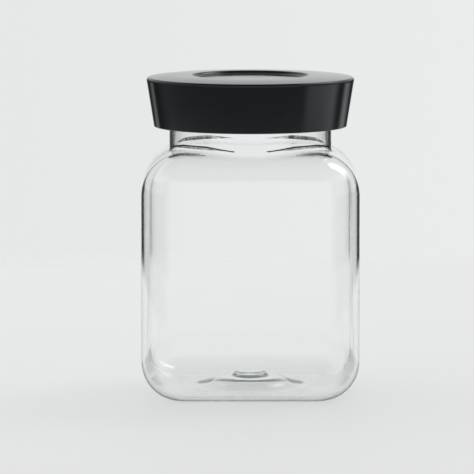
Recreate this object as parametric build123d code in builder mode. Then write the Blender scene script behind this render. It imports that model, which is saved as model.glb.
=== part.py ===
from build123d import *
import os

# Square glass jar with a round neck and a push-in lid.
# Millimetres, +Z up; the origin is the centre of the base, on the plane the jar stands on.

# Glass body
BODY_WIDTH = 112.0  # across the flats, both ways
UPRIGHT_RADIUS = 23.0  # rounding of the four upright corners
SHOULDER_RADIUS = 22.5
HEEL_RADIUS = 20.0
SHOULDER_TOP = 128.0  # height of the flat round the neck
WALL = 1.2
SHOULDER_WALL = 1.3
BASE_WALL = 2.0

# Glass neck
NECK_RADIUS = 42.0
MOUTH_RADIUS = 40.4
RIM_HEIGHT = 158.0
RIM_ROUNDING = 0.7
NECK_ROOT_ROUNDING = 3.0  # outside, where the neck runs into the shoulder
NECK_INNER_ROUNDING = 4.5  # inside, where the shoulder turns up into the neck
NECK_OVERLAP = 6.0  # how far the neck's cylinders run down into the shoulder

# Push-up in the base
PUSH_UP_FOOT_RADIUS = 30.0
PUSH_UP_TOP_RADIUS = 9.4
PUSH_UP_INNER_TOP = 7.8
PUSH_UP_OUTER_TOP = 6.4
NUB_RADIUS = 6.8
NUB_TOP = 9.7

# Outer shell of the lid
SKIRT_BOTTOM = 138.8
SKIRT_BOTTOM_RADIUS = 49.9
SKIRT_TOP_RADIUS = 54.0
LAND_HEIGHT = 164.3  # top surface at the outer edge
CREST_HEIGHT = 165.5  # lip round the dished recess
CREST_RADIUS = 31.0
RECESS_FLOOR = 164.0
RECESS_FLOOR_RADIUS = 28.0
LID_EDGE_ROUNDING = 1.5
SHELL_WALL = 2.2
TOP_WALL = 2.1

# Collar and ribs under the shell's top
COLLAR_RADIUS = 35.0
COLLAR_WALL = 1.6
COLLAR_BOTTOM = 149.8
SNAP_HEIGHT = 152.0  # middle of the snap bead
SNAP_HALF_WIDTH = 1.2
SNAP_PROUD = 0.6
SNAP_CLEARANCE = 0.2
RIB_COUNT = 12
RIB_WALL = 1.6

# Plug that enters the mouth
PLUG_RADIUS = 39.0
PLUG_BOTTOM = 141.5
PLUG_FLOOR_WALL = 1.8
PLUG_FLANGE_RADIUS = 45.5
PLUG_FLANGE_WALL = 2.0
PLUG_LEAD_IN = 1.2
COLLAR_CLEARANCE = 0.15

# Seal ring and its gland
GLAND_BOTTOM = 146.0
GLAND_TOP = 154.0
GLAND_RADIUS = 37.5
SEAL_RUNNING_CLEARANCE = 0.05
SEAL_END_CLEARANCE = 0.1
SEAL_BAND_RADIUS = 38.6
FIN_COUNT = 3
FIN_ROOT_WIDTH = 1.5
FIN_TIP_WIDTH = 0.6
FIN_DROOP = 0.5  # fin tips sit above their roots, as they trail when the plug goes in

FLANGE_TOP = RIM_HEIGHT + PLUG_FLANGE_WALL
FIN_RADIUS = MOUTH_RADIUS - SEAL_RUNNING_CLEARANCE


def rounded_block(width, bottom, top, upright_radius, heel_radius, shoulder_radius):
    """Square block with rounded uprights, heel and shoulder."""
    with BuildPart() as block:
        with BuildSketch(Plane.XY.offset(bottom)):
            RectangleRounded(width, width, upright_radius)
        extrude(amount=top - bottom)
        fillet(block.faces().sort_by(Axis.Z)[-1].edges(), shoulder_radius)
        fillet(block.faces().sort_by(Axis.Z)[0].edges(), heel_radius)
    return block.part


def cylinder_edges(part, radius):
    """Edges that bound the upright cylinder of one radius, without its seam."""
    walls = part.faces().filter_by(GeomType.CYLINDER)
    walls = walls.filter_by(lambda face: abs(face.radius - radius) < 0.01)
    return walls.edges().filter_by(GeomType.LINE, reverse=True)


def push_up(foot_height, top_height, depth_below_foot):
    """Low bell on the jar's axis: a flat top, then an ogee down to a wide foot."""
    middle = ((PUSH_UP_TOP_RADIUS + PUSH_UP_FOOT_RADIUS) / 2, (foot_height + top_height) / 2)
    bottom = foot_height - depth_below_foot
    with BuildPart() as bell:
        with BuildSketch(Plane.XZ):
            with BuildLine():
                top = Line((0, top_height), (PUSH_UP_TOP_RADIUS, top_height))
                upper = TangentArc(top @ 1, middle, tangent=(1, 0))
                lower = TangentArc(upper @ 1, (PUSH_UP_FOOT_RADIUS, foot_height), tangent=upper % 1)
                Polyline(lower @ 1, (PUSH_UP_FOOT_RADIUS, bottom), (0, bottom), (0, top_height))
            make_face()
        revolve(axis=Axis.Z)
    return bell.part


# ---------------------------------------------------------------- glass body
outer_block = rounded_block(
    BODY_WIDTH, 0, SHOULDER_TOP, UPRIGHT_RADIUS, HEEL_RADIUS, SHOULDER_RADIUS
)
cavity_block = rounded_block(
    BODY_WIDTH - 2 * WALL,
    BASE_WALL,
    SHOULDER_TOP - SHOULDER_WALL,
    UPRIGHT_RADIUS - WALL,
    HEEL_RADIUS - WALL,
    SHOULDER_RADIUS - WALL,
)
inner_push_up = push_up(BASE_WALL, PUSH_UP_INNER_TOP, BASE_WALL / 2)
outer_push_up = push_up(0, PUSH_UP_OUTER_TOP, 1)

with BuildPart() as jar_body:
    add(outer_block)
    with BuildSketch(Plane.XY.offset(SHOULDER_TOP - NECK_OVERLAP)):
        Circle(NECK_RADIUS)
    extrude(amount=RIM_HEIGHT - SHOULDER_TOP + NECK_OVERLAP)
    add(cavity_block, mode=Mode.SUBTRACT)
    with BuildSketch(Plane.XY.offset(SHOULDER_TOP - SHOULDER_WALL - NECK_OVERLAP)):
        Circle(MOUTH_RADIUS)
    extrude(amount=RIM_HEIGHT - SHOULDER_TOP + SHOULDER_WALL + NECK_OVERLAP, mode=Mode.SUBTRACT)
    fillet(jar_body.faces().sort_by(Axis.Z)[-1].edges(), RIM_ROUNDING)
    neck_edges = cylinder_edges(jar_body, NECK_RADIUS)
    fillet(neck_edges.sort_by(Axis.Z)[:-1], NECK_ROOT_ROUNDING)
    mouth_edges = cylinder_edges(jar_body, MOUTH_RADIUS)
    fillet(mouth_edges.sort_by(Axis.Z)[:-1], NECK_INNER_ROUNDING)
    add(inner_push_up)
    with BuildSketch(Plane.XY.offset(PUSH_UP_INNER_TOP)):
        Circle(PUSH_UP_TOP_RADIUS)
    with BuildSketch(Plane.XY.offset(NUB_TOP)):
        Circle(NUB_RADIUS)
    loft()
    add(outer_push_up, mode=Mode.SUBTRACT)

jar_body.part.label = "jar_body"

# ---------------------------------------------------------------- lid shell
underside = CREST_HEIGHT - TOP_WALL
recess_middle = ((RECESS_FLOOR_RADIUS + CREST_RADIUS) / 2, (RECESS_FLOOR + CREST_HEIGHT) / 2)

with BuildPart() as lid_shell:
    with BuildSketch(Plane.XZ) as shell_profile:
        with BuildLine():
            floor = Line((0, RECESS_FLOOR), (RECESS_FLOOR_RADIUS, RECESS_FLOOR))
            recess_foot = TangentArc(floor @ 1, recess_middle, tangent=(1, 0))
            recess_lip = TangentArc(
                recess_foot @ 1, (CREST_RADIUS, CREST_HEIGHT), tangent=recess_foot % 1
            )
            dome = TangentArc(recess_lip @ 1, (SKIRT_TOP_RADIUS, LAND_HEIGHT), tangent=(1, 0))
            Polyline(
                dome @ 1,
                (SKIRT_BOTTOM_RADIUS, SKIRT_BOTTOM),
                (SKIRT_BOTTOM_RADIUS - SHELL_WALL, SKIRT_BOTTOM),
                (SKIRT_TOP_RADIUS - SHELL_WALL, LAND_HEIGHT - TOP_WALL),
                (CREST_RADIUS + TOP_WALL, underside),
                (RECESS_FLOOR_RADIUS + TOP_WALL, RECESS_FLOOR - TOP_WALL),
                (0, RECESS_FLOOR - TOP_WALL),
                (0, RECESS_FLOOR),
            )
        make_face()
        fillet(shell_profile.vertices().sort_by(Axis.X)[-1], LID_EDGE_ROUNDING)
        fillet(shell_profile.vertices().sort_by(Axis.Y)[:2], SHELL_WALL / 4)
    revolve(axis=Axis.Z)

    # Collar that the plug snaps onto
    with BuildSketch(Plane.XY.offset(COLLAR_BOTTOM)):
        Circle(COLLAR_RADIUS)
        Circle(COLLAR_RADIUS - COLLAR_WALL, mode=Mode.SUBTRACT)
    extrude(amount=underside + TOP_WALL / 2 - COLLAR_BOTTOM)
    with BuildSketch(Plane.XZ):
        with BuildLine():
            Polyline(
                (COLLAR_RADIUS - COLLAR_WALL / 2, SNAP_HEIGHT - SNAP_HALF_WIDTH),
                (COLLAR_RADIUS, SNAP_HEIGHT - SNAP_HALF_WIDTH),
                (COLLAR_RADIUS + SNAP_PROUD, SNAP_HEIGHT),
                (COLLAR_RADIUS, SNAP_HEIGHT + SNAP_HALF_WIDTH),
                (COLLAR_RADIUS - COLLAR_WALL / 2, SNAP_HEIGHT + SNAP_HALF_WIDTH),
                close=True,
            )
        make_face()
    revolve(axis=Axis.Z)

    # Ribs from the collar to the skirt, which press on the plug's flange
    rib_start = COLLAR_RADIUS - COLLAR_WALL / 2
    rib_length = SKIRT_TOP_RADIUS - SHELL_WALL - rib_start
    with BuildSketch(Plane.XY.offset(FLANGE_TOP)):
        with PolarLocations(rib_start + rib_length / 2, RIB_COUNT):
            Rectangle(rib_length, RIB_WALL)
    extrude(amount=underside - FLANGE_TOP)

lid_shell.part.label = "lid_shell"

# ---------------------------------------------------------------- lid plug
cup_radius = COLLAR_RADIUS + COLLAR_CLEARANCE

with BuildPart() as lid_plug:
    with BuildSketch(Plane.XZ) as plug_profile:
        with BuildLine():
            Polyline(
                (0, PLUG_BOTTOM),
                (PLUG_RADIUS, PLUG_BOTTOM),
                (PLUG_RADIUS, GLAND_BOTTOM),
                (GLAND_RADIUS, GLAND_BOTTOM),
                (GLAND_RADIUS, GLAND_TOP),
                (PLUG_RADIUS, GLAND_TOP),
                (PLUG_RADIUS, RIM_HEIGHT),
                (PLUG_FLANGE_RADIUS, RIM_HEIGHT),
                (PLUG_FLANGE_RADIUS, FLANGE_TOP),
                (cup_radius, FLANGE_TOP),
                (cup_radius, SNAP_HEIGHT + SNAP_HALF_WIDTH + SNAP_CLEARANCE),
                (cup_radius + SNAP_PROUD, SNAP_HEIGHT + SNAP_CLEARANCE),
                (cup_radius + SNAP_PROUD, SNAP_HEIGHT - SNAP_CLEARANCE),
                (cup_radius, SNAP_HEIGHT - SNAP_HALF_WIDTH - SNAP_CLEARANCE),
                (cup_radius, PLUG_BOTTOM + PLUG_FLOOR_WALL),
                (0, PLUG_BOTTOM + PLUG_FLOOR_WALL),
                close=True,
            )
        make_face()
        bottom_corner = plug_profile.vertices().sort_by(Axis.Y)[:2].sort_by(Axis.X)[-1]
        fillet(bottom_corner, PLUG_LEAD_IN)
    revolve(axis=Axis.Z)

lid_plug.part.label = "lid_plug"

# ---------------------------------------------------------------- seal ring
seal_bottom = GLAND_BOTTOM + SEAL_END_CLEARANCE
seal_height = GLAND_TOP - SEAL_END_CLEARANCE - seal_bottom
fin_pitch = seal_height / FIN_COUNT
fin_reach = FIN_RADIUS - SEAL_BAND_RADIUS
band_middle_radius = (GLAND_RADIUS + SEAL_BAND_RADIUS) / 2

with BuildPart() as seal_ring:
    with BuildSketch(Plane.XY.offset(seal_bottom)):
        Circle(SEAL_BAND_RADIUS)
        Circle(GLAND_RADIUS + SEAL_RUNNING_CLEARANCE, mode=Mode.SUBTRACT)
    extrude(amount=seal_height)
    for fin in range(FIN_COUNT):
        root = seal_bottom + (fin + 0.5) * fin_pitch - FIN_DROOP / 2
        tip = root + FIN_DROOP
        with BuildSketch(Plane.XZ):
            with BuildLine():
                Polyline(
                    (band_middle_radius, root - FIN_ROOT_WIDTH / 2),
                    (SEAL_BAND_RADIUS, root - FIN_ROOT_WIDTH / 2),
                    (FIN_RADIUS, tip - FIN_TIP_WIDTH / 2),
                    (FIN_RADIUS, tip + FIN_TIP_WIDTH / 2),
                    (SEAL_BAND_RADIUS, root + FIN_ROOT_WIDTH / 2),
                    (band_middle_radius, root + FIN_ROOT_WIDTH / 2),
                    close=True,
                )
            make_face()
        revolve(axis=Axis.Z)

seal_ring.part.label = "seal_ring"

# ---------------------------------------------------------------- write the pieces
os.makedirs("parts", exist_ok=True)
export_step(jar_body.part, "parts/jar_body.step")
export_step(lid_shell.part, "parts/lid_shell.step")
export_step(lid_plug.part, "parts/lid_plug.step")
export_step(seal_ring.part, "parts/seal_ring.step")
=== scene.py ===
"""Specimen jar: a square clear glass jar with rounded corners and a black push-in lid."""

import math

import bmesh
import bpy
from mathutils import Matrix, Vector


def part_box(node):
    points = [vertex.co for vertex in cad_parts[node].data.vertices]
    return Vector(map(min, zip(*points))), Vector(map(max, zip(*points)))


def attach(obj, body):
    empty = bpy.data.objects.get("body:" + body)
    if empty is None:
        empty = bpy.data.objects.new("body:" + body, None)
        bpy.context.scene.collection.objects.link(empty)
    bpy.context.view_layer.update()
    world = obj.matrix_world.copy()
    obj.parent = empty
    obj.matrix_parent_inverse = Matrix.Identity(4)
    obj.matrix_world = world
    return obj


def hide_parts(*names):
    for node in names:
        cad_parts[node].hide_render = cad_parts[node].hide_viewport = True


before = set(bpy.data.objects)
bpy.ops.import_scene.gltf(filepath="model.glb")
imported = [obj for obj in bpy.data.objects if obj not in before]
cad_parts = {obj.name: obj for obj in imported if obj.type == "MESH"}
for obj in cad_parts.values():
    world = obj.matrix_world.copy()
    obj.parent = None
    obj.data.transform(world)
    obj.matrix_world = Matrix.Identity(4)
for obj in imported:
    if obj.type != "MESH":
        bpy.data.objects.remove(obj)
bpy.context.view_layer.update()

MM = 0.001

# ---------------------------------------------------------------- sizes read from the frame
jar_low, jar_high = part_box("jar_body")
shell_low, shell_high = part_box("lid_shell")
plug_low, plug_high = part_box("lid_plug")
seal_low, seal_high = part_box("seal_ring")

HALF_WIDTH = (jar_high.x - jar_low.x) / 2
RIM = jar_high.z
LID_CREST = shell_high.z
SKIRT_BOTTOM = shell_low.z
PLUG_BOTTOM = plug_low.z
FLANGE_TOP = plug_high.z
FLANGE_RADIUS = (plug_high.x - plug_low.x) / 2
SEAL_BOTTOM = seal_low.z
SEAL_TOP = seal_high.z
FIN_RADIUS = (seal_high.x - seal_low.x) / 2

# ---------------------------------------------------------------- sizes of the glass
WALL = 1.2 * MM
SHOULDER_WALL = 1.3 * MM
BASE_WALL = 2.0 * MM
UPRIGHT_RADIUS = 23.0 * MM
SHOULDER_RADIUS = 22.5 * MM
HEEL_RADIUS = 20.0 * MM
SHOULDER_TOP = RIM - 30.0 * MM
MOUTH_RADIUS = FIN_RADIUS + 0.05 * MM
NECK_RADIUS = 42.0 * MM
RIM_ROUNDING = 0.7 * MM
NECK_ROOT_ROUNDING = 3.0 * MM
NECK_INNER_ROUNDING = 4.5 * MM
PUSH_UP_FOOT = 30.0 * MM
PUSH_UP_TOP = 9.4 * MM
PUSH_UP_INNER_HEIGHT = 7.8 * MM
PUSH_UP_OUTER_HEIGHT = 6.4 * MM
NUB_RADIUS = 6.8 * MM
NUB_TOP = 9.7 * MM

# ---------------------------------------------------------------- sizes of the lid
SHELL_WALL = 2.2 * MM
TOP_WALL = 2.1 * MM
SKIRT_BOTTOM_RADIUS = 49.9 * MM
SKIRT_TOP_RADIUS = 54.0 * MM  # where the skirt and the top would meet without the edge's rounding
LAND_HEIGHT = LID_CREST - 1.2 * MM
CREST_RADIUS = 31.0 * MM
RECESS_FLOOR = LID_CREST - 1.5 * MM
RECESS_FLOOR_RADIUS = 28.0 * MM
LID_EDGE_ROUNDING = 1.5 * MM
COLLAR_RADIUS = 35.0 * MM
COLLAR_WALL = 1.6 * MM
COLLAR_BOTTOM = 149.8 * MM
SNAP_HEIGHT = 152.0 * MM  # middle of the snap bead
SNAP_HALF_WIDTH = 1.2 * MM
SNAP_PROUD = 0.6 * MM
SNAP_CLEARANCE = 0.2 * MM
RIB_COUNT = 12
RIB_WALL = 1.6 * MM
PLUG_RADIUS = 39.0 * MM
PLUG_FLOOR_WALL = 1.8 * MM
PLUG_LEAD_IN = 1.2 * MM
CUP_RADIUS = COLLAR_RADIUS + 0.15 * MM
GLAND_RADIUS = 37.5 * MM
GLAND_BOTTOM = SEAL_BOTTOM - 0.1 * MM
GLAND_TOP = SEAL_TOP + 0.1 * MM
SEAL_BAND_RADIUS = 38.6 * MM
SEAL_BORE = GLAND_RADIUS + 0.05 * MM
FIN_COUNT = 3
FIN_ROOT_HALF_WIDTH = 0.75 * MM
FIN_TIP_HALF_WIDTH = 0.3 * MM
FIN_DROOP = 0.5 * MM  # fin tips sit this far above their roots

SPOKES = 288  # points round every ring
ARC_STEP = math.radians(4)
GUARD = 0.12 * MM  # extra ring close to each end of a straight run, which keeps shading crisp
WALL_SHARES = (0.01, 0.25, 0.5, 0.75, 0.99)  # heights of the rings up a straight side of the jar
DOME_STEPS = 12
DOME_REACH = 12.9  # steps from the crest to the skirt; the edge's rounding takes the last one


# ---------------------------------------------------------------- outlines in radius and height
def rounded_path(corners, step=ARC_STEP):
    """Points along a path of (radius, height, rounding) corners, each turned by an arc."""
    points = []
    last = len(corners) - 1
    for i, (r, z, rounding) in enumerate(corners):
        here = Vector((r, z))
        if rounding == 0 or i in (0, last):
            points.append(here)
            continue
        back = (Vector(corners[i - 1][:2]) - here).normalized()
        ahead = (Vector(corners[i + 1][:2]) - here).normalized()
        half = back.angle(ahead) / 2
        centre = here + (back + ahead).normalized() * rounding / math.sin(half)
        start = here + back * rounding / math.tan(half)
        turn = math.pi - 2 * half
        side = 1 if back.x * ahead.y - back.y * ahead.x < 0 else -1
        count = max(3, math.ceil(turn / step))
        spoke = start - centre
        for k in range(count + 1):
            a = side * turn * k / count
            c, s = math.cos(a), math.sin(a)
            points.append(centre + Vector((spoke.x * c - spoke.y * s, spoke.x * s + spoke.y * c)))
    return points


def ogee(start, end, count=10):
    """Points of an S of two equal arcs, level at both ends."""
    start, end = Vector(start), Vector(end)
    width, rise = (end.x - start.x) / 2, (end.y - start.y) / 2
    radius = (width * width + rise * rise) / (2 * abs(rise))
    turn = math.asin(abs(width) / radius)
    out, up = math.copysign(1, width), math.copysign(1, rise)
    points = []
    for k in range(count + 1):
        a = turn * k / count
        points.append(start + Vector((out * radius * math.sin(a), up * radius * (1 - math.cos(a)))))
    for k in range(count - 1, -1, -1):
        a = turn * k / count
        points.append(end - Vector((out * radius * math.sin(a), up * radius * (1 - math.cos(a)))))
    return points


def guarded(points):
    """The same outline with an extra point near both ends of each long straight run."""
    out = [points[0]]
    for a, b in zip(points, points[1:]):
        run = b - a
        if run.length > 6 * GUARD:
            out.append(a + run.normalized() * GUARD)
            out.append(b - run.normalized() * GUARD)
        if run.length > 1e-7:
            out.append(b)
    return out


# ---------------------------------------------------------------- meshes from rings
ANGLES = [2 * math.pi * k / SPOKES for k in range(SPOKES)]


def ring(radius, height):
    return [Vector((radius * math.cos(a), radius * math.sin(a), height)) for a in ANGLES]


def skin(name, rings, first_pole=None, last_pole=None):
    """A mesh through rings in order. Without poles, the last ring joins the first."""
    mesh = bmesh.new()
    rows = [[mesh.verts.new(p) for p in points] for points in rings]
    pairs = list(zip(rows, rows[1:]))
    if first_pole is None:
        pairs.append((rows[-1], rows[0]))
    for low, high in pairs:
        for k in range(SPOKES):
            n = (k + 1) % SPOKES
            mesh.faces.new((low[k], low[n], high[n], high[k]))
    if first_pole is not None:
        pole = mesh.verts.new(first_pole)
        for k in range(SPOKES):
            mesh.faces.new((pole, rows[0][(k + 1) % SPOKES], rows[0][k]))
        pole = mesh.verts.new(last_pole)
        for k in range(SPOKES):
            mesh.faces.new((rows[-1][k], rows[-1][(k + 1) % SPOKES], pole))
    data = bpy.data.meshes.new(name)
    mesh.to_mesh(data)
    mesh.free()
    data.shade_smooth()
    piece = bpy.data.objects.new(name, data)
    bpy.context.scene.collection.objects.link(piece)
    return piece


def lathe(name, outline):
    """A turned solid. The outline starts and ends on the axis, or is a closed loop off it."""
    points = guarded(outline)
    if outline[0].x == 0:
        rings = [ring(p.x, p.y) for p in points[1:-1]]
        return skin(name, rings, (0, 0, points[0].y), (0, 0, points[-1].y))
    return skin(name, [ring(p.x, p.y) for p in points[:-1]])


# ---------------------------------------------------------------- the glass jar
def square_reach(half, corner, angle):
    """How far from the axis a ray meets a rounded square of that half width."""
    x, y = abs(math.cos(angle)), abs(math.sin(angle))
    flat = half / max(x, y)
    if flat * min(x, y) <= half - corner:
        return flat
    centre = half - corner
    along = (x + y) * centre
    return along + math.sqrt(along * along - 2 * centre * centre + corner * corner)


def edge_arc(half, corner, radius, angle, height, direction, count=24):
    """Section of a rounded heel (direction -1) or shoulder (1), from the wall to the flat."""
    points = []
    for k in range(count + 1):
        a = math.pi / 2 * k / count
        inset = radius * (1 - math.cos(a))
        reach = square_reach(half - inset, corner - inset, angle)
        points.append(Vector((reach, height + direction * radius * math.sin(a))))
    return points


def evenly(points, count):
    """The same line cut into count equal lengths."""
    lengths = [0.0]
    for a, b in zip(points, points[1:]):
        lengths.append(lengths[-1] + (b - a).length)
    out, k = [], 0
    for i in range(count + 1):
        want = lengths[-1] * i / count
        while k < len(points) - 2 and lengths[k + 1] < want:
            k += 1
        share = (want - lengths[k]) / max(lengths[k + 1] - lengths[k], 1e-12)
        out.append(points[k].lerp(points[k + 1], min(max(share, 0), 1)))
    return out


def shoulder_to_neck(half, corner, radius, angle, top, neck, rounding):
    """Section up the shoulder, and the bend that carries it into the neck's wall."""
    arc = edge_arc(half, corner, radius, angle, top - radius, 1, count=90)
    arc.append(Vector((min(arc[-1].x, neck) - MM, top)))
    path = [arc[0]]
    for a, b in zip(arc, arc[1:]):
        if b.x <= neck:
            share = (a.x - neck) / (a.x - b.x)
            path.append(a.lerp(b, share))
            break
        path.append(b)
    foot = path[-1]
    slope = (path[-1] - path[-2]).normalized()
    turn = slope.angle(Vector((0, 1)))
    setback = rounding * math.tan(turn / 2)
    trimmed, left = list(path), setback
    while len(trimmed) > 2 and (trimmed[-1] - trimmed[-2]).length < left:
        left -= (trimmed[-1] - trimmed[-2]).length
        trimmed.pop()
    end = trimmed[-1] + (trimmed[-2] - trimmed[-1]).normalized() * left
    trimmed[-1] = end
    heading = (trimmed[-1] - trimmed[-2]).normalized()
    finish = foot + Vector((0, setback))
    handle = 0.55 * (finish - end).length
    bend = []
    for k in range(1, 11):
        t = k / 10
        a, b, c, d = end, end + heading * handle, finish - Vector((0, handle)), finish
        bend.append(
            a * (1 - t) ** 3 + b * 3 * t * (1 - t) ** 2 + c * 3 * t * t * (1 - t) + d * t ** 3
        )
    return evenly(trimmed, 36), bend


def jar_section(angle):
    """The whole outline of the glass in the half plane at one angle, from pole to pole."""
    shoulder_foot = SHOULDER_TOP - SHOULDER_RADIUS
    outside = ogee((PUSH_UP_TOP, PUSH_UP_OUTER_HEIGHT), (PUSH_UP_FOOT, 0))
    flat = square_reach(HALF_WIDTH - HEEL_RADIUS, UPRIGHT_RADIUS - HEEL_RADIUS, angle)
    outside += [Vector((PUSH_UP_FOOT + GUARD, 0)), Vector((flat - GUARD, 0))]
    outside += edge_arc(HALF_WIDTH, UPRIGHT_RADIUS, HEEL_RADIUS, angle, HEEL_RADIUS, -1)[::-1]
    reach = outside[-1].x
    for share in WALL_SHARES:
        outside.append(Vector((reach, HEEL_RADIUS + (shoulder_foot - HEEL_RADIUS) * share)))
    shoulder, bend = shoulder_to_neck(
        HALF_WIDTH, UPRIGHT_RADIUS, SHOULDER_RADIUS, angle,
        SHOULDER_TOP, NECK_RADIUS, NECK_ROOT_ROUNDING,
    )
    outside += shoulder + bend
    neck = guarded(rounded_path([
        (NECK_RADIUS, SHOULDER_TOP + NECK_ROOT_ROUNDING + 0.5 * MM, 0),
        (NECK_RADIUS, RIM, RIM_ROUNDING),
        (MOUTH_RADIUS, RIM, RIM_ROUNDING),
        (MOUTH_RADIUS, SHOULDER_TOP + 1.2 * MM, 0),
    ], math.radians(12)))
    inner_half = HALF_WIDTH - WALL
    ceiling = SHOULDER_TOP - SHOULDER_WALL
    inner_upright = UPRIGHT_RADIUS - WALL
    inner_shoulder = SHOULDER_RADIUS - WALL
    inner_heel = HEEL_RADIUS - WALL
    inner_top, inner_bend = shoulder_to_neck(
        inner_half, inner_upright, inner_shoulder, angle,
        ceiling, MOUTH_RADIUS, NECK_INNER_ROUNDING,
    )
    inside = (inner_top + inner_bend)[::-1]
    reach = inside[-1].x
    wall_foot, wall_top = BASE_WALL + inner_heel, ceiling - inner_shoulder
    for share in WALL_SHARES[::-1]:
        inside.append(Vector((reach, wall_foot + (wall_top - wall_foot) * share)))
    inside += edge_arc(inner_half, inner_upright, inner_heel, angle, wall_foot, -1)
    inside += [Vector((inside[-1].x - GUARD, BASE_WALL))]
    inside += ogee((PUSH_UP_FOOT, BASE_WALL), (PUSH_UP_TOP, PUSH_UP_INNER_HEIGHT))
    inside += ogee((PUSH_UP_TOP, PUSH_UP_INNER_HEIGHT), (NUB_RADIUS, NUB_TOP))[1:]
    return outside + neck + inside


def make_jar():
    sections = [jar_section(a) for a in ANGLES]
    count = len(sections[0])
    rings = []
    for i in range(count):
        points = []
        for a, section in zip(ANGLES, sections):
            p = section[i]
            points.append(Vector((p.x * math.cos(a), p.x * math.sin(a), p.y)))
        rings.append(points)
    return skin("glass_jar", rings, (0, 0, PUSH_UP_OUTER_HEIGHT), (0, 0, NUB_TOP))


# ---------------------------------------------------------------- the lid
BOX_FACES = ((3, 2, 1, 0), (4, 5, 6, 7), (0, 1, 5, 4), (1, 2, 6, 5), (2, 3, 7, 6), (3, 0, 4, 7))


def make_shell():
    """Outer shell of the lid: skirt, top and collar in one outline, and ribs joined on."""
    top_wall_end = (CREST_RADIUS + TOP_WALL, LID_CREST - TOP_WALL)
    inner_floor = RECESS_FLOOR - TOP_WALL
    underside = [
        (0, inner_floor, 0),
        (RECESS_FLOOR_RADIUS + TOP_WALL, inner_floor, 0.5 * MM),
        (*top_wall_end, 0.4 * MM),
        (COLLAR_RADIUS - COLLAR_WALL, LID_CREST - TOP_WALL - 0.1 * MM, 0.3 * MM),
        (COLLAR_RADIUS - COLLAR_WALL, COLLAR_BOTTOM, 0.4 * MM),
        (COLLAR_RADIUS, COLLAR_BOTTOM, 0.4 * MM),
        (COLLAR_RADIUS, SNAP_HEIGHT - SNAP_HALF_WIDTH, 0.2 * MM),
        (COLLAR_RADIUS + SNAP_PROUD, SNAP_HEIGHT, 0.3 * MM),
        (COLLAR_RADIUS, SNAP_HEIGHT + SNAP_HALF_WIDTH, 0.2 * MM),
        (COLLAR_RADIUS, LID_CREST - TOP_WALL - 0.1 * MM, 0.3 * MM),
        (SKIRT_TOP_RADIUS - SHELL_WALL, LAND_HEIGHT - TOP_WALL, 0.8 * MM),
        (SKIRT_BOTTOM_RADIUS - SHELL_WALL, SKIRT_BOTTOM, 0.55 * MM),
        (SKIRT_BOTTOM_RADIUS, SKIRT_BOTTOM, 0.55 * MM),
        (SKIRT_TOP_RADIUS, LAND_HEIGHT, LID_EDGE_ROUNDING),
    ]
    fall = LID_CREST - LAND_HEIGHT
    span = SKIRT_TOP_RADIUS - CREST_RADIUS
    dome_radius = (span * span + fall * fall) / (2 * fall)
    dome = []
    for k in range(DOME_STEPS, -1, -1):
        x = span * k / DOME_REACH
        drop = dome_radius - math.sqrt(dome_radius ** 2 - x * x)
        dome.append((CREST_RADIUS + x, LID_CREST - drop, 0))
    outline = rounded_path(underside + dome)
    outline += ogee((CREST_RADIUS, LID_CREST), (RECESS_FLOOR_RADIUS, RECESS_FLOOR))[1:]
    outline.append(Vector((0, RECESS_FLOOR)))
    shell = lathe("lid_outer_shell", outline)

    start = COLLAR_RADIUS - COLLAR_WALL / 2
    end = SKIRT_TOP_RADIUS - SHELL_WALL
    ribs = bmesh.new()
    for k in range(RIB_COUNT):
        a = 2 * math.pi * k / RIB_COUNT
        along = Vector((math.cos(a), math.sin(a), 0))
        across = Vector((-math.sin(a), math.cos(a), 0))
        half = across * RIB_WALL / 2
        corners = [
            along * r + h * side + Vector((0, 0, z))
            for z in (FLANGE_TOP, LID_CREST - TOP_WALL)
            for r, h, side in ((start, half, -1), (end, half, -1), (end, half, 1), (start, half, 1))
        ]
        v = [ribs.verts.new(c) for c in corners]
        for face in BOX_FACES:
            ribs.faces.new([v[i] for i in face])
    data = bpy.data.meshes.new("lid_ribs")
    ribs.to_mesh(data)
    ribs.free()
    tool = bpy.data.objects.new("lid_ribs", data)
    bpy.context.scene.collection.objects.link(tool)
    join = shell.modifiers.new("ribs", "BOOLEAN")
    join.operation, join.solver, join.object = "UNION", "EXACT", tool
    done = bpy.data.meshes.new_from_object(
        shell.evaluated_get(bpy.context.evaluated_depsgraph_get())
    )
    shell.modifiers.clear()
    shell.data = done
    bpy.data.objects.remove(tool)
    done.shade_smooth()
    done.set_sharp_from_angle(angle=math.radians(40))
    return shell


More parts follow.
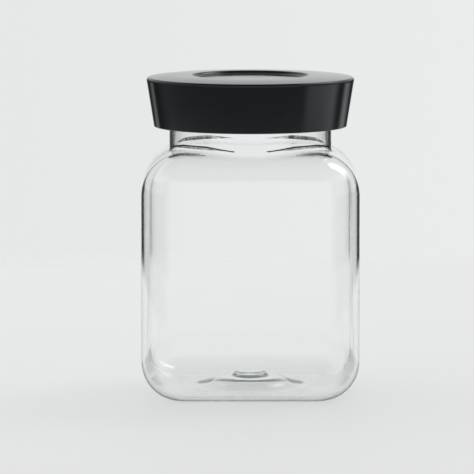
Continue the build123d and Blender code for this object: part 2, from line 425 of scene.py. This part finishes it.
def make_plug():
    """Cup that enters the mouth, with its flange and the gland for the seal."""
    groove_half = SNAP_HALF_WIDTH + SNAP_CLEARANCE
    floor_top = PLUG_BOTTOM + PLUG_FLOOR_WALL
    outline = rounded_path([
        (0, PLUG_BOTTOM, 0),
        (PLUG_RADIUS, PLUG_BOTTOM, PLUG_LEAD_IN),
        (PLUG_RADIUS, GLAND_BOTTOM, 0.25 * MM),
        (GLAND_RADIUS, GLAND_BOTTOM, 0.25 * MM),
        (GLAND_RADIUS, GLAND_TOP, 0.25 * MM),
        (PLUG_RADIUS, GLAND_TOP, 0.25 * MM),
        (PLUG_RADIUS, RIM, 0.3 * MM),
        (FLANGE_RADIUS, RIM, 0.5 * MM),
        (FLANGE_RADIUS, FLANGE_TOP, 0.5 * MM),
        (CUP_RADIUS, FLANGE_TOP, 0.4 * MM),
        (CUP_RADIUS, SNAP_HEIGHT + groove_half, 0.2 * MM),
        (CUP_RADIUS + SNAP_PROUD, SNAP_HEIGHT + SNAP_CLEARANCE, 0.15 * MM),
        (CUP_RADIUS + SNAP_PROUD, SNAP_HEIGHT - SNAP_CLEARANCE, 0.15 * MM),
        (CUP_RADIUS, SNAP_HEIGHT - groove_half, 0.2 * MM),
        (CUP_RADIUS, floor_top, 0.8 * MM),
        (0, floor_top, 0),
    ], math.radians(10))
    return lathe("lid_inner_plug", outline)


def make_seal():
    """Silicone ring with three fins whose tips trail upwards."""
    soft = 0.2 * MM  # rounding of every corner
    height = SEAL_TOP - SEAL_BOTTOM
    seam = (SEAL_BORE + 0.4 * MM, SEAL_BOTTOM, 0)
    corners = [seam, (SEAL_BAND_RADIUS, SEAL_BOTTOM, soft)]
    for fin in range(FIN_COUNT):
        root = SEAL_BOTTOM + (fin + 0.5) * height / FIN_COUNT - FIN_DROOP / 2
        tip = root + FIN_DROOP
        corners += [
            (SEAL_BAND_RADIUS, root - FIN_ROOT_HALF_WIDTH, soft),
            (FIN_RADIUS, tip - FIN_TIP_HALF_WIDTH, soft),
            (FIN_RADIUS, tip + FIN_TIP_HALF_WIDTH, soft),
            (SEAL_BAND_RADIUS, root + FIN_ROOT_HALF_WIDTH, soft),
        ]
    corners += [
        (SEAL_BAND_RADIUS, SEAL_TOP, soft),
        (SEAL_BORE, SEAL_TOP, soft),
        (SEAL_BORE, SEAL_BOTTOM, soft),
        seam,
    ]
    return lathe("silicone_seal", rounded_path(corners, math.radians(15)))


# ---------------------------------------------------------------- materials
def material(name):
    """A new material and its Principled shader."""
    made = bpy.data.materials.new(name)
    made.use_nodes = True
    return made, made.node_tree, made.node_tree.nodes["Principled BSDF"]


def object_noise(tree, scale, detail=2.0, roughness=0.5):
    """Noise fixed to the piece; scale is in waves a metre."""
    place = tree.nodes.new("ShaderNodeTexCoord")
    noise = tree.nodes.new("ShaderNodeTexNoise")
    noise.inputs["Scale"].default_value = scale
    noise.inputs["Detail"].default_value = detail
    noise.inputs["Roughness"].default_value = roughness
    tree.links.new(place.outputs["Object"], noise.inputs["Vector"])
    return noise.outputs["Fac"]


def spread(tree, value, low, high):
    """Maps noise from 0.3..0.7 to low..high."""
    span = tree.nodes.new("ShaderNodeMapRange")
    span.inputs["From Min"].default_value = 0.3
    span.inputs["From Max"].default_value = 0.7
    span.inputs["To Min"].default_value = low
    span.inputs["To Max"].default_value = high
    tree.links.new(value, span.inputs["Value"])
    return span.outputs["Result"]


def bump(tree, shader, height, strength, distance):
    """Lets a noise raise the surface by up to that distance, in metres."""
    node = tree.nodes.new("ShaderNodeBump")
    node.inputs["Strength"].default_value = strength
    node.inputs["Distance"].default_value = distance
    tree.links.new(height, node.inputs["Height"])
    tree.links.new(node.outputs["Normal"], shader.inputs["Normal"])


def clear_glass():
    """Smooth glass, faintly wavy, slightly green where light goes a long way through it."""
    made, tree, shader = material("clear_glass")
    shader.inputs["Base Color"].default_value = (1, 1, 1, 1)
    shader.inputs["Transmission Weight"].default_value = 1
    shader.inputs["IOR"].default_value = 1.5
    shader.inputs["Roughness"].default_value = 0
    bump(tree, shader, object_noise(tree, 22, 1.0), 0.25, 0.0004)
    depth = tree.nodes.new("ShaderNodeVolumeAbsorption")
    depth.inputs["Color"].default_value = (0.62, 0.93, 0.86, 1)
    depth.inputs["Density"].default_value = 12.0
    tree.links.new(depth.outputs["Volume"], tree.nodes["Material Output"].inputs["Volume"])
    return made


def black_plastic(name, low, high, grain):
    """Moulded black plastic: uneven gloss and a fine moulded grain."""
    made, tree, shader = material(name)
    shader.inputs["Base Color"].default_value = (0.006, 0.0065, 0.008, 1)
    shader.inputs["IOR"].default_value = 1.40
    # Bluish specular tint: a painted tint that gives every reflection a bluish cast of light.
    shader.inputs["Specular Tint"].default_value = (0.86, 0.92, 1.0, 1)
    tree.links.new(spread(tree, object_noise(tree, 60, 6), low, high), shader.inputs["Roughness"])
    bump(tree, shader, object_noise(tree, grain, 3), 0.12, 0.00004)
    return made


def silicone():
    """Milky silicone with a fine uneven sheen."""
    made, tree, shader = material("milky_silicone")
    shader.inputs["Base Color"].default_value = (0.74, 0.75, 0.74, 1)
    shader.inputs["Subsurface Weight"].default_value = 0.6
    shader.inputs["Subsurface Radius"].default_value = (0.0015, 0.0015, 0.0015)
    shader.inputs["Subsurface Scale"].default_value = 1.0
    tree.links.new(spread(tree, object_noise(tree, 300, 4), 0.38, 0.55), shader.inputs["Roughness"])
    bump(tree, shader, object_noise(tree, 900, 3), 0.2, 0.00005)
    return made


# ---------------------------------------------------------------- the pieces
def place(piece, body, slot, node, surface):
    """Gives a piece its material and body, and hides the node that it replaces. The slot is not used.
    """
    piece.data.materials.clear()
    piece.data.materials.append(surface)
    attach(piece, body)
    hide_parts(node)


jar = make_jar()
jar.visible_shadow = False  # clear glass leaves the floor round it lit
place(jar, "jar", "jar_glass", "jar_body", clear_glass())
place(make_shell(), "lid", "lid_black", "lid_shell", black_plastic("lid_gloss", 0.07, 0.13, 900))
place(make_plug(), "lid", "plug_black", "lid_plug", black_plastic("plug_satin", 0.34, 0.48, 700))
place(make_seal(), "seal", "seal_silicone", "seal_ring", silicone())


# ---------------------------------------------------------------- floor
FLOOR_RADIUS = 0.56
FLOOR_FADE = 0.44  # from here out the floor melts into the surroundings
FLOOR_MIDDLE = Vector((0, 0.14, -0.1 * MM))


def make_floor():
    """A pale disc that gives off a little light and turns clear towards its edge."""
    data = bmesh.new()
    bmesh.ops.create_circle(data, cap_ends=True, radius=FLOOR_RADIUS, segments=128)
    mesh = bpy.data.meshes.new("floor")
    data.to_mesh(mesh)
    data.free()
    floor = bpy.data.objects.new("floor", mesh)
    bpy.context.scene.collection.objects.link(floor)
    floor.location = FLOOR_MIDDLE
    made, tree, shader = material("pale_floor")
    shader.inputs["Base Color"].default_value = (0.30, 0.303, 0.303, 1)
    shader.inputs["Roughness"].default_value = 0.45
    shader.inputs["Specular IOR Level"].default_value = 0.1
    shader.inputs["Emission Color"].default_value = (0.995, 1.0, 1.0, 1)
    shader.inputs["Emission Strength"].default_value = 0.405
    place_node = tree.nodes.new("ShaderNodeTexCoord")
    far = tree.nodes.new("ShaderNodeVectorMath")
    far.operation = "LENGTH"
    tree.links.new(place_node.outputs["Object"], far.inputs[0])
    fade = tree.nodes.new("ShaderNodeMapRange")
    fade.interpolation_type = "SMOOTHSTEP"
    fade.inputs["From Min"].default_value = FLOOR_FADE
    fade.inputs["From Max"].default_value = FLOOR_RADIUS
    tree.links.new(far.outputs["Value"], fade.inputs["Value"])
    clear = tree.nodes.new("ShaderNodeBsdfTransparent")
    mix = tree.nodes.new("ShaderNodeMixShader")
    tree.links.new(fade.outputs["Result"], mix.inputs["Fac"])
    tree.links.new(shader.outputs["BSDF"], mix.inputs[1])
    tree.links.new(clear.outputs["BSDF"], mix.inputs[2])
    tree.links.new(mix.outputs["Shader"], tree.nodes["Material Output"].inputs["Surface"])
    mesh.materials.append(made)


make_floor()


# ---------------------------------------------------------------- surroundings
ROOM_FLOOR = 0.05  # the least light from any direction
TINT = (0.985, 1.0, 1.0)


def make_world():
    """Soft studio light from all round; dark strips beside the pale sheet outline the glass."""
    world = bpy.data.worlds.new("studio")
    world.use_nodes = True
    bpy.context.scene.world = world
    tree = world.node_tree
    place_node = tree.nodes.new("ShaderNodeTexCoord")
    split = tree.nodes.new("ShaderNodeSeparateXYZ")
    tree.links.new(place_node.outputs["Generated"], split.inputs[0])

    def maths(operation, a, b=None):
        node = tree.nodes.new("ShaderNodeMath")
        node.operation = operation
        for socket, value in zip(node.inputs, (a, b)):
            if value is None:
                continue
            if isinstance(value, (int, float)):
                socket.default_value = value
            else:
                tree.links.new(value, socket)
        return node.outputs[0]

    def ramp(value, start, end, low, high):
        node = tree.nodes.new("ShaderNodeMapRange")
        node.interpolation_type = "SMOOTHSTEP"
        for key, number in zip(("From Min", "From Max", "To Min", "To Max"), (start, end, low, high)):
            node.inputs[key].default_value = number
        tree.links.new(value, node.inputs["Value"])
        return node.outputs["Result"]

    azimuth = maths("ARCTAN2", split.outputs["X"], split.outputs["Y"])
    level = split.outputs["Z"]

    def by_azimuth(start, end, low, high):
        return ramp(azimuth, math.radians(start), math.radians(end), low, high)

    def by_elevation(start, end, low, high):
        return ramp(level, math.sin(math.radians(start)), math.sin(math.radians(end)), low, high)

    def both(a, b):
        return maths("MULTIPLY", a, b)

    # Azimuths are in degrees, 0 ahead of the front view and positive to its right.
    # The pale sheet that the jar stands before, and the pale table that runs out to it.
    sheet = both(by_azimuth(-15, -8, 0, 1), by_azimuth(8, 14, 1, 0))
    sheet = both(sheet, by_elevation(40, 70, 0.82, 0.2))
    sheet = both(sheet, by_azimuth(-3, 3, 0.98, 1.02))
    table = both(by_azimuth(-44, -32, 0, 1), by_azimuth(40, 54, 1, 0))
    table = both(table, by_elevation(-11, -8, 0.78, 0))
    # A dim room at the sides, and the bright half of the studio behind the front view.
    room = maths("MAXIMUM", by_azimuth(-75, -45, 0.26, 0), by_azimuth(45, 75, 0, 0.26))
    room = both(room, by_elevation(20, 50, 1, 0.3))
    turn = maths("ABSOLUTE", azimuth)
    behind = ramp(turn, math.radians(105), math.radians(135), 0, 0.85)
    behind = both(behind, both(by_elevation(-14, -9, 0, 1), by_elevation(35, 60, 1, 0.15)))
    # The walls' pale upper part all round, and below the horizon a bright bay on the right.
    above = both(by_elevation(0, 8, 0, 0.7), by_elevation(38, 58, 1, 0.1))
    bay = both(by_azimuth(55, 72, 0, 1.1), by_azimuth(105, 122, 1, 0))
    bay = both(bay, both(by_elevation(-34, -24, 0, 1), by_elevation(-10, -4, 1, 0)))
    # A window with soft edges, high on the right.
    glow = both(by_azimuth(30, 48, 0, 4), by_azimuth(58, 76, 1, 0))
    glow = both(glow, both(by_elevation(14, 44, 0, 1), by_elevation(54, 66, 1, 0)))
    light = maths("ADD", room, ROOM_FLOOR)
    for part in (sheet, table, behind, above, bay, glow):
        light = maths("MAXIMUM", light, part)
    tint = tree.nodes.new("ShaderNodeCombineColor")
    for channel, share in zip(("Red", "Green", "Blue"), TINT):
        tree.links.new(maths("MULTIPLY", light, share), tint.inputs[channel])
    background = tree.nodes["Background"]
    tree.links.new(tint.outputs["Color"], background.inputs["Color"])


make_world()


def make_overhead():
    """A large soft light above, which shades the lid and floor but shows in no reflection."""
    light = bpy.data.lights.new("overhead", "AREA")
    light.shape = "RECTANGLE"
    light.size = light.size_y = 2.2
    light.energy = 30
    lamp = bpy.data.objects.new("overhead", light)
    bpy.context.scene.collection.objects.link(lamp)
    way = Vector((-0.1, 0.3, 1.0)).normalized()
    lamp.location = Vector((0, 0, 80 * MM)) + way * 1.8
    lamp.rotation_mode = "QUATERNION"
    lamp.rotation_quaternion = way.to_track_quat("Z", "Y")
    lamp.visible_camera = False
    lamp.visible_glossy = False
    lamp.visible_transmission = False


make_overhead()


# ---------------------------------------------------------------- camera
CAMERA_ELEVATION = math.radians(6.05)
CAMERA_DISTANCE = 2.70
CAMERA_AIM = Vector((-6.9 * MM, 0, 81 * MM))
CAMERA_LENS = 395.0

data = bpy.data.cameras.new("camera")
data.lens = CAMERA_LENS
data.sensor_width = 36
data.clip_start, data.clip_end = 0.1, 50
camera = bpy.data.objects.new("camera", data)
bpy.context.scene.collection.objects.link(camera)
back = Vector((0, -math.cos(CAMERA_ELEVATION), math.sin(CAMERA_ELEVATION)))
camera.location = CAMERA_AIM + back * CAMERA_DISTANCE
camera.rotation_mode = "QUATERNION"
camera.rotation_quaternion = (-back).to_track_quat("-Z", "Y")
bpy.context.scene.camera = camera
bpy.context.scene.view_settings.view_transform = "Standard"
